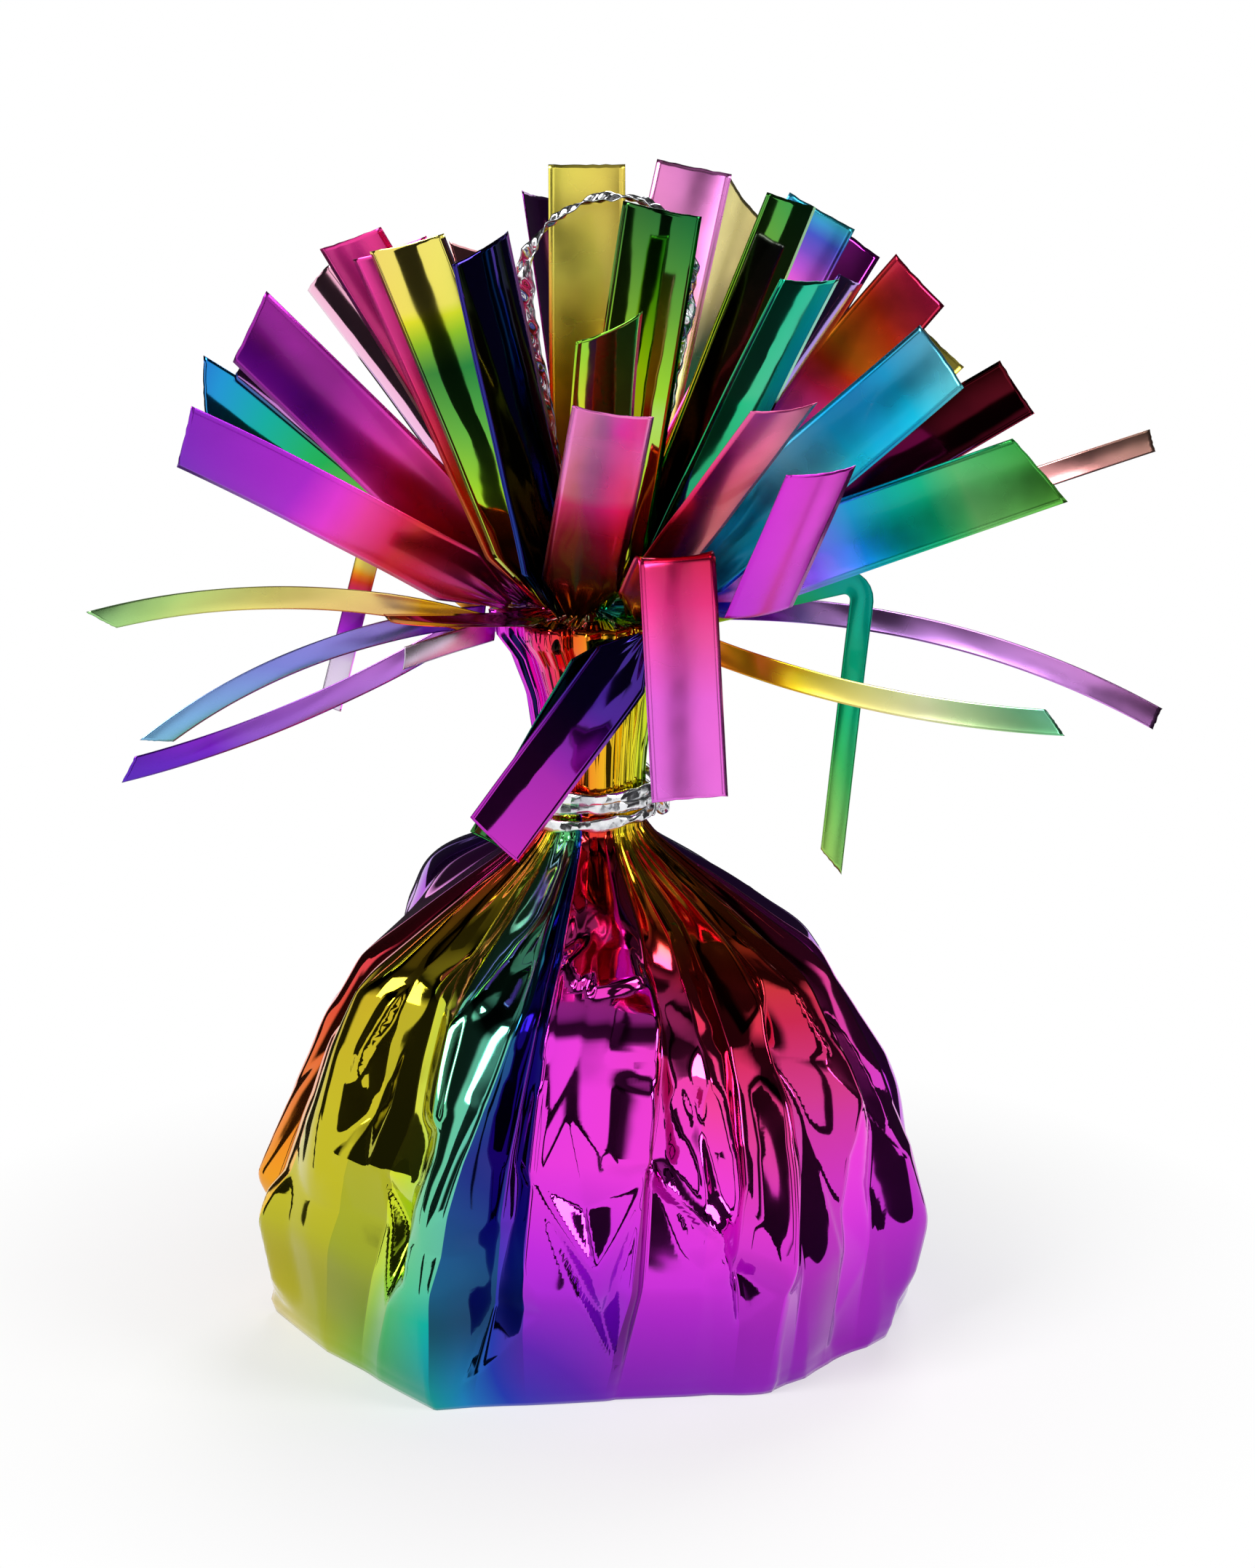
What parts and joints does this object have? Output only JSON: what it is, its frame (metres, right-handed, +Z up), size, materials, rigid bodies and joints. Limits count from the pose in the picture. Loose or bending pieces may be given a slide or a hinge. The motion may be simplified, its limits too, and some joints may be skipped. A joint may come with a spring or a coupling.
{
  "type": "balloon weight",
  "caption": "Foil-wrapped balloon weight with a pleated body on a flat foot, a tied neck, a ribbon loop for a balloon and a plume of film strips and streamers that bend at the collar.",
  "frame": {"origin": "centre of the flat foot, on the surface it stands on", "axes": "+Z up along the neck, -Y to the front, +X to the right as seen from the front"},
  "size_m": [0.1231, 0.0862, 0.1345],
  "materials": {
    "foil_magenta": "metallised film, bright",
    "foil_violet": "metallised film, bright",
    "foil_blue": "metallised film, bright",
    "foil_teal": "metallised film, bright",
    "foil_green": "metallised film, bright",
    "foil_yellow": "metallised film, bright",
    "foil_red": "metallised film, bright",
    "silver_ribbon": "metallised ribbon, bright",
    "tub_plastic": "moulded",
    "sand": "dry loose sand"
  },
  "bodies": {
    "weight": {"foil_wrap": "foil_magenta", "weight_cup": "tub_plastic", "sand_fill": "sand", "cup_lid": "tub_plastic", "neck_tie": "silver_ribbon", "tie_knot": "silver_ribbon"},
    "ribbon_loop": {"ribbon_loop": "silver_ribbon"},
    "left_strip_1": {"left_strip_1": "foil_violet"},
    "left_strip_2": {"left_strip_2": "foil_teal"},
    "left_strip_3": {"left_strip_3": "foil_violet"},
    "left_strip_4": {"left_strip_4": "foil_magenta"},
    "left_strip_5": {"left_strip_5": "foil_magenta"},
    "left_strip_6": {"left_strip_6": "foil_red"},
    "left_strip_7": {"left_strip_7": "foil_green"},
    "left_strip_8": {"left_strip_8": "foil_red"},
    "left_strip_9": {"left_strip_9": "foil_blue"},
    "left_strip_10": {"left_strip_10": "foil_red"},
    "top_strip_1": {"top_strip_1": "foil_yellow"},
    "top_strip_2": {"top_strip_2": "foil_magenta"},
    "top_strip_3": {"top_strip_3": "foil_violet"},
    "top_strip_4": {"top_strip_4": "foil_yellow"},
    "top_strip_5": {"top_strip_5": "foil_green"},
    "top_strip_6": {"top_strip_6": "foil_green"},
    "right_strip_1": {"right_strip_1": "foil_green"},
    "right_strip_2": {"right_strip_2": "foil_magenta"},
    "right_strip_3": {"right_strip_3": "foil_magenta"},
    "right_strip_4": {"right_strip_4": "foil_green"},
    "right_strip_5": {"right_strip_5": "foil_red"},
    "right_strip_6": {"right_strip_6": "foil_violet"},
    "right_strip_7": {"right_strip_7": "foil_yellow"},
    "right_strip_8": {"right_strip_8": "foil_blue"},
    "right_strip_9": {"right_strip_9": "foil_red"},
    "right_strip_10": {"right_strip_10": "foil_teal"},
    "front_strip_1": {"front_strip_1": "foil_magenta"},
    "front_strip_2": {"front_strip_2": "foil_red"},
    "front_strip_3": {"front_strip_3": "foil_red"},
    "front_strip_4": {"front_strip_4": "foil_magenta"},
    "hanging_strip_1": {"hanging_strip_1": "foil_magenta"},
    "hanging_strip_2": {"hanging_strip_2": "foil_blue"},
    "hanging_strip_3": {"hanging_strip_3": "foil_green"},
    "back_strip_1": {"back_strip_1": "foil_yellow"},
    "back_strip_2": {"back_strip_2": "foil_blue"},
    "back_strip_3": {"back_strip_3": "foil_red"},
    "back_strip_4": {"back_strip_4": "foil_green"},
    "back_strip_5": {"back_strip_5": "foil_violet"},
    "back_strip_6": {"back_strip_6": "foil_magenta"},
    "left_streamer_1": {"left_streamer_1": "foil_yellow"},
    "left_streamer_2": {"left_streamer_2": "foil_violet"},
    "left_streamer_3": {"left_streamer_3": "foil_blue"},
    "left_streamer_4": {"left_streamer_4": "foil_yellow"},
    "left_streamer_5": {"left_streamer_5": "foil_violet"},
    "right_streamer_1": {"right_streamer_1": "foil_violet"},
    "right_streamer_2": {"right_streamer_2": "foil_red"},
    "right_streamer_3": {"right_streamer_3": "foil_teal"},
    "right_streamer_4": {"right_streamer_4": "foil_violet"}
  },
  "joints": [
    {"name": "ribbon_loop_rock", "type": "hinge", "parent": "weight", "child": "ribbon_loop", "pos_m": [0, 0, 0.0863], "axis": [1, 0, 0], "range_deg": [-5, 7], "stiffness_Nm_per_rad": 0.000734},
    {"name": "left_strip_1_bend", "type": "hinge", "parent": "weight", "child": "left_strip_1", "pos_m": [-0.00916, -0.00315, 0.08691], "axis": [0.5773, -0.401, 0.7112], "range_deg": [-11, 6], "stiffness_Nm_per_rad": 0.00014},
    {"name": "left_strip_2_bend", "type": "hinge", "parent": "weight", "child": "left_strip_2", "pos_m": [-0.00774, 0.00583, 0.08699], "axis": [0.3445, -0.4294, 0.8348], "range_deg": [-12, 1], "stiffness_Nm_per_rad": 0.00014},
    {"name": "left_strip_3_bend", "type": "hinge", "parent": "weight", "child": "left_strip_3", "pos_m": [-0.00936, 0.00251, 0.08674], "axis": [0.2113, -0.8547, 0.4742], "range_deg": [-1, 3], "stiffness_Nm_per_rad": 0.000108},
    {"name": "left_strip_4_bend", "type": "hinge", "parent": "weight", "child": "left_strip_4", "pos_m": [-0.00738, -0.00065, 0.08684], "axis": [0.7322, -0.1492, 0.6645], "range_deg": [-3, 3], "stiffness_Nm_per_rad": 0.000152},
    {"name": "left_strip_5_bend", "type": "hinge", "parent": "weight", "child": "left_strip_5", "pos_m": [-0.00496, 0.00551, 0.08674], "axis": [0.3303, -0.8009, 0.4995], "range_deg": [-9, 3], "stiffness_Nm_per_rad": 0.000148},
    {"name": "left_strip_6_bend", "type": "hinge", "parent": "weight", "child": "left_strip_6", "pos_m": [-0.00524, 0, 0.08661], "axis": [0.8002, -0.4695, 0.3731], "range_deg": [-9, 4], "stiffness_Nm_per_rad": 0.000182},
    {"name": "left_strip_7_bend", "type": "hinge", "parent": "weight", "child": "left_strip_7", "pos_m": [-0.0043, -0.00301, 0.08655], "axis": [0.931, -0.2385, 0.2763], "range_deg": [-1, 2], "stiffness_Nm_per_rad": 0.000182},
    {"name": "left_strip_8_bend", "type": "hinge", "parent": "weight", "child": "left_strip_8", "pos_m": [-0.00499, -0.00162, 0.08659], "axis": [0.9272, -0.1713, 0.3332], "range_deg": [-3, 1], "stiffness_Nm_per_rad": 0.000173},
    {"name": "left_strip_9_bend", "type": "hinge", "parent": "weight", "child": "left_strip_9", "pos_m": [-0.00313, -0.00672, 0.08652], "axis": [0.6688, 0.6906, 0.2755], "range_deg": [-1, 11], "stiffness_Nm_per_rad": 0.000165},
    {"name": "left_strip_10_bend", "type": "hinge", "parent": "weight", "child": "left_strip_10", "pos_m": [-0.00254, 0.00459, 0.0866], "axis": [-0.6184, -0.7231, 0.3078], "range_deg": [-1, 6], "stiffness_Nm_per_rad": 0.000148},
    {"name": "top_strip_1_bend", "type": "hinge", "parent": "weight", "child": "top_strip_1", "pos_m": [-0.00012, 0.00342, 0.08634], "axis": [-0.9946, -0.1022, 0.0181], "range_deg": [-10, 2], "stiffness_Nm_per_rad": 0.000202},
    {"name": "top_strip_2_bend", "type": "hinge", "parent": "weight", "child": "top_strip_2", "pos_m": [0.00127, 0.00509, 0.08648], "axis": [-0.9759, 0.1185, 0.1834], "range_deg": [-1, 1], "stiffness_Nm_per_rad": 0.000212},
    {"name": "top_strip_3_bend", "type": "hinge", "parent": "weight", "child": "top_strip_3", "pos_m": [0.00013, 0.00741, 0.08653], "axis": [-0.4257, -0.8666, 0.2602], "range_deg": [-4, 6], "stiffness_Nm_per_rad": 0.000165},
    {"name": "top_strip_4_bend", "type": "hinge", "parent": "weight", "child": "top_strip_4", "pos_m": [0.0029, 0.00682, 0.08686], "axis": [-0.4319, -0.5732, 0.6964], "range_deg": [-3, 6], "stiffness_Nm_per_rad": 0.000273},
    {"name": "top_strip_5_bend", "type": "hinge", "parent": "weight", "child": "top_strip_5", "pos_m": [0.00117, -0.00321, 0.08645], "axis": [0.9733, -0.1545, -0.1698], "range_deg": [-9, 2], "stiffness_Nm_per_rad": 0.000202},
    {"name": "top_strip_6_bend", "type": "hinge", "parent": "weight", "child": "top_strip_6", "pos_m": [0.00027, -0.00524, 0.08655], "axis": [0.8034, 0.5337, 0.264], "range_deg": [-8, 1], "stiffness_Nm_per_rad": 0.00014},
    {"name": "right_strip_1_bend", "type": "hinge", "parent": "weight", "child": "right_strip_1", "pos_m": [0.00509, 0.00127, 0.08657], "axis": [0.6469, 0.6932, -0.3177], "range_deg": [-2, 3], "stiffness_Nm_per_rad": 0.000197},
    {"name": "right_strip_2_bend", "type": "hinge", "parent": "weight", "child": "right_strip_2", "pos_m": [0.00407, 0.0033, 0.08672], "axis": [-0.8619, -0.0741, 0.5017], "range_deg": [-1, 1], "stiffness_Nm_per_rad": 0.000207},
    {"name": "right_strip_3_bend", "type": "hinge", "parent": "weight", "child": "right_strip_3", "pos_m": [0.00515, 0.00533, 0.08683], "axis": [-0.7714, -0.123, 0.6243], "range_deg": [-1, 6], "stiffness_Nm_per_rad": 0.000222},
    {"name": "right_strip_4_bend", "type": "hinge", "parent": "weight", "child": "right_strip_4", "pos_m": [0.00635, -0.00382, 0.08645], "axis": [0.7488, 0.6485, -0.1373], "range_deg": [-8, 12], "stiffness_Nm_per_rad": 0.000165},
    {"name": "right_strip_5_bend", "type": "hinge", "parent": "weight", "child": "right_strip_5", "pos_m": [0.00672, 0.00313, 0.08689], "axis": [-0.6575, -0.1791, 0.7319], "range_deg": [-1, 1], "stiffness_Nm_per_rad": 0.000197},
    {"name": "right_strip_6_bend", "type": "hinge", "parent": "weight", "child": "right_strip_6", "pos_m": [0.00524, 0.00018, 0.08659], "axis": [0.3437, 0.8855, -0.3127], "range_deg": [-3, 1], "stiffness_Nm_per_rad": 0.000144},
    {"name": "right_strip_7_bend", "type": "hinge", "parent": "weight", "child": "right_strip_7", "pos_m": [0.00856, 0.00455, 0.08687], "axis": [-0.7001, 0.3023, 0.6469], "range_deg": [-2, 1], "stiffness_Nm_per_rad": 0.000169},
    {"name": "right_strip_8_bend", "type": "hinge", "parent": "weight", "child": "right_strip_8", "pos_m": [0.0074, -0.00039, 0.08688], "axis": [-0.5439, 0.4653, 0.6983], "range_deg": [-7, 9], "stiffness_Nm_per_rad": 0.000148},
    {"name": "right_strip_9_bend", "type": "hinge", "parent": "weight", "child": "right_strip_9", "pos_m": [0.00932, 0.00267, 0.08679], "axis": [-0.4016, 0.7446, 0.5332], "range_deg": [-2, 5], "stiffness_Nm_per_rad": 0.000165},
    {"name": "right_strip_10_bend", "type": "hinge", "parent": "weight", "child": "right_strip_10", "pos_m": [0.00969, -0.00017, 0.08705], "axis": [-0.3357, 0.1908, 0.9224], "range_deg": [-12, 1], "stiffness_Nm_per_rad": 0.000144},
    {"name": "front_strip_1_bend", "type": "hinge", "parent": "weight", "child": "front_strip_1", "pos_m": [-0.00179, -0.00719, 0.08648], "axis": [0.989, 0.002, -0.1476], "range_deg": [-1, 6], "stiffness_Nm_per_rad": 0.000102},
    {"name": "front_strip_2_bend", "type": "hinge", "parent": "weight", "child": "front_strip_2", "pos_m": [0.00456, -0.00584, 0.08639], "axis": [0.8233, 0.5671, -0.0242], "range_deg": [-12, 5], "stiffness_Nm_per_rad": 0.000111},
    {"name": "front_strip_3_bend", "type": "hinge", "parent": "weight", "child": "front_strip_3", "pos_m": [-0.00499, -0.00831, 0.08647], "axis": [0.3136, -0.9456, 0.0869], "range_deg": [-15, 1], "stiffness_Nm_per_rad": 0.00000734},
    {"name": "front_strip_4_bend", "type": "hinge", "parent": "weight", "child": "front_strip_4", "pos_m": [0.00954, -0.00168, 0.0864], "axis": [0.866, 0.5, 0], "range_deg": [-6, 7], "stiffness_Nm_per_rad": 0.000106},
    {"name": "hanging_strip_1_bend", "type": "hinge", "parent": "weight", "child": "hanging_strip_1", "pos_m": [0.00583, -0.00774, 0.08637], "axis": [0.9563, 0.2924, 0], "range_deg": [-5, 15], "stiffness_Nm_per_rad": 0.0000507},
    {"name": "hanging_strip_2_bend", "type": "hinge", "parent": "weight", "child": "hanging_strip_2", "pos_m": [0.00608, -0.01012, 0.08521], "axis": [0.592, 0.3654, -0.7184], "range_deg": [-15, 0], "stiffness_Nm_per_rad": 0.0000418},
    {"name": "hanging_strip_3_bend", "type": "hinge", "parent": "weight", "child": "hanging_strip_3", "pos_m": [0.00273, -0.01181, 0.08521], "axis": [0.6268, 0.5592, -0.5426], "range_deg": [-1, 6], "stiffness_Nm_per_rad": 0.0000323},
    {"name": "back_strip_1_bend", "type": "hinge", "parent": "weight", "child": "back_strip_1", "pos_m": [-0.00299, 0.00922, 0.08701], "axis": [-0.1153, -0.4827, 0.8682], "range_deg": [-12, 15], "stiffness_Nm_per_rad": 0.000192},
    {"name": "back_strip_2_bend", "type": "hinge", "parent": "weight", "child": "back_strip_2", "pos_m": [-0.00077, 0.00737, 0.08688], "axis": [-0.3756, -0.6204, 0.6885], "range_deg": [-6, 1], "stiffness_Nm_per_rad": 0.000192},
    {"name": "back_strip_3_bend", "type": "hinge", "parent": "weight", "child": "back_strip_3", "pos_m": [0.00283, 0.00927, 0.08703], "axis": [-0.2832, -0.3323, 0.8997], "range_deg": [-7, 15], "stiffness_Nm_per_rad": 0.000192},
    {"name": "back_strip_4_bend", "type": "hinge", "parent": "weight", "child": "back_strip_4", "pos_m": [0.00382, 0.00635, 0.08699], "axis": [-0.2801, -0.4153, 0.8655], "range_deg": [-6, 3], "stiffness_Nm_per_rad": 0.000165},
    {"name": "back_strip_5_bend", "type": "hinge", "parent": "weight", "child": "back_strip_5", "pos_m": [-0.00697, 0.00673, 0.08701], "axis": [-0.1966, -0.5052, 0.8403], "range_deg": [-3, 12], "stiffness_Nm_per_rad": 0.000169},
    {"name": "back_strip_6_bend", "type": "hinge", "parent": "weight", "child": "back_strip_6", "pos_m": [0.00673, 0.00697, 0.08701], "axis": [-0.5052, 0.1966, 0.8403], "range_deg": [-12, 9], "stiffness_Nm_per_rad": 0.000169},
    {"name": "left_streamer_1_bend", "type": "hinge", "parent": "weight", "child": "left_streamer_1", "pos_m": [-0.01165, -0.00379, 0.0846], "axis": [0.3673, -0.0934, 0.9254], "range_deg": [-8, 9], "stiffness_Nm_per_rad": 0.0000483},
    {"name": "left_streamer_2_bend", "type": "hinge", "parent": "weight", "child": "left_streamer_2", "pos_m": [-0.01192, 0.00063, 0.0846], "axis": [0.0917, -0.1514, 0.9842], "range_deg": [-7, 12], "stiffness_Nm_per_rad": 0.0000377},
    {"name": "left_streamer_3_bend", "type": "hinge", "parent": "weight", "child": "left_streamer_3", "pos_m": [-0.01245, 0.00109, 0.0846], "axis": [-0.5192, -0.2197, 0.8259], "range_deg": [-21, 8], "stiffness_Nm_per_rad": 0.0000503},
    {"name": "left_streamer_4_bend", "type": "hinge", "parent": "weight", "child": "left_streamer_4", "pos_m": [-0.01235, 0.00263, 0.0846], "axis": [0.5384, -0.3025, 0.7865], "range_deg": [-6, 26], "stiffness_Nm_per_rad": 0.00000865},
    {"name": "left_streamer_5_bend", "type": "hinge", "parent": "weight", "child": "left_streamer_5", "pos_m": [-0.0108, -0.00481, 0.0846], "axis": [0.0863, -0.1592, 0.9835], "range_deg": [-26, 26], "stiffness_Nm_per_rad": 0.00000154},
    {"name": "right_streamer_1_bend", "type": "hinge", "parent": "weight", "child": "right_streamer_1", "pos_m": [0.01111, 0.00426, 0.0846], "axis": [0.001, 0.1937, 0.9811], "range_deg": [-15, 9], "stiffness_Nm_per_rad": 0.000164},
    {"name": "right_streamer_2_bend", "type": "hinge", "parent": "weight", "child": "right_streamer_2", "pos_m": [0.00954, -0.00745, 0.0846], "axis": [0.3059, 0.039, 0.9513], "range_deg": [-26, 26], "stiffness_Nm_per_rad": 0.0000577},
    {"name": "right_streamer_3_bend", "type": "hinge", "parent": "weight", "child": "right_streamer_3", "pos_m": [0.01198, 0.00126, 0.0846], "axis": [-0.1915, 0.1312, 0.9727], "range_deg": [-15, 15], "stiffness_Nm_per_rad": 0.0000195},
    {"name": "right_streamer_4_bend", "type": "hinge", "parent": "weight", "child": "right_streamer_4", "pos_m": [0.01011, 0.00657, 0.0846], "axis": [-0.2613, 0.0618, 0.9633], "range_deg": [-9, 13], "stiffness_Nm_per_rad": 0.000165}
  ]
}
